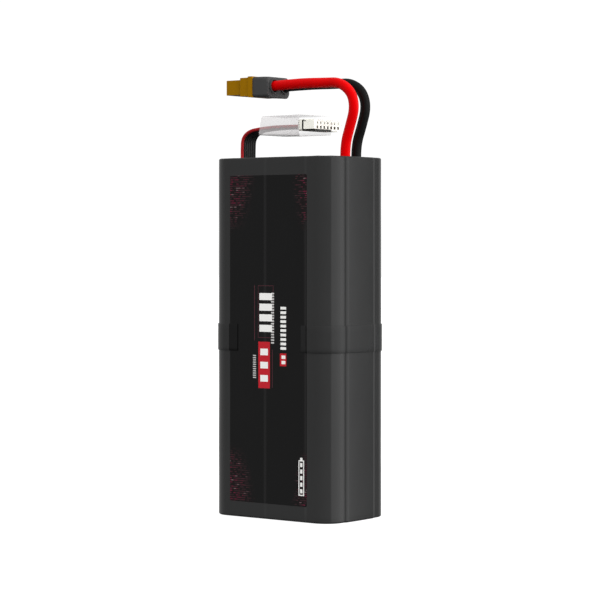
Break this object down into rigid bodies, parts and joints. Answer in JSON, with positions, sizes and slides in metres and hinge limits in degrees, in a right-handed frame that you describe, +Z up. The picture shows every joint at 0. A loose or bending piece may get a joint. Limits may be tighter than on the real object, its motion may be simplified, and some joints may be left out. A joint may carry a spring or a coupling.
{
  "type": "battery pack",
  "caption": "Shrink-wrapped rectangular lithium-ion battery pack with power leads to a keyed connector and a balance lead to a flat multi-way plug.",
  "frame": {"origin": "centre of the base of the wrapped body", "axes": "+Z up the cells' length towards the leads; -Y is the labelled broad face; +X is the edge where the main leads leave"},
  "size_m": [0.0711, 0.0438, 0.1937],
  "materials": {
    "wrap_film": "satin dark grey heat-shrink film",
    "label_film": "satin black printed film",
    "band_tape": "satin dark grey tape",
    "end_plate": "matte black moulded plastic",
    "glass_board": "glass-fibre board",
    "cell_steel": "nickel-plated steel",
    "electrode_roll": "wound electrode foil",
    "cell_gasket": "natural nylon",
    "cell_sleeve": "thin shrink film",
    "ring_paper": "adhesive paper",
    "insulating_sheet": "insulating paper",
    "nickel_strip": "bare nickel",
    "tap_board": "solder-masked glass-fibre board",
    "foam": "closed-cell foam",
    "lead_red": "satin silicone rubber",
    "lead_black": "satin silicone rubber",
    "tap_red": "satin silicone rubber",
    "tap_black": "satin silicone rubber",
    "connector_nylon": "moulded mustard nylon",
    "boot_grey": "moulded grey nylon",
    "gold_contact": "gold plate",
    "plug_nylon": "moulded white nylon",
    "clear_film": "clear shrink film"
  },
  "bodies": {
    "root": {"balance_plug_contacts": "gold_contact", "balance_plug_housing": "plug_nylon", "balance_wire_0": "tap_red", "balance_wire_1": "tap_black", "balance_wire_2": "tap_black", "balance_wire_3": "tap_black", "balance_wire_4": "tap_black", "balance_wire_5": "tap_black", "balance_wire_6": "tap_black", "bottom_end_plate": "end_plate", "bottom_sheet": "insulating_sheet", "cell_can_01": "cell_steel", "cell_can_02": "cell_steel", "cell_can_03": "cell_steel", "cell_can_04": "cell_steel", "cell_can_05": "cell_steel", "cell_can_06": "cell_steel", "cell_can_07": "cell_steel", "cell_can_08": "cell_steel", "cell_can_09": "cell_steel", "cell_can_10": "cell_steel", "cell_can_11": "cell_steel", "cell_can_12": "cell_steel", "cell_caps": "cell_steel", "cell_cores": "electrode_roll", "cell_gaskets": "cell_gasket", "cell_ring_insulators": "ring_paper", "cell_sleeves": "cell_sleeve", "clear_sleeve": "clear_film", "connector_boot": "boot_grey", "connector_housing": "connector_nylon", "connector_socket_negative": "gold_contact", "connector_socket_positive": "gold_contact", "inner_lead_negative": "lead_black", "inner_lead_positive": "lead_red", "inner_tap_wires": "tap_black", "label_film": "label_film", "main_lead_black": "lead_black", "main_lead_red": "lead_red", "mid_band": "band_tape", "mid_sheet": "insulating_sheet", "shrink_wrap": "wrap_film", "side_board_left": "glass_board", "side_board_right": "glass_board", "strip_bottom_link": "nickel_strip", "strip_bottom_negative": "nickel_strip", "strip_mid_1": "nickel_strip", "strip_mid_2": "nickel_strip", "strip_mid_3": "nickel_strip", "strip_top_link": "nickel_strip", "strip_top_positive": "nickel_strip", "tap_board": "tap_board", "top_end_plate": "end_plate", "top_foam": "foam", "top_sheet": "insulating_sheet"}
  },
  "joints": []
}
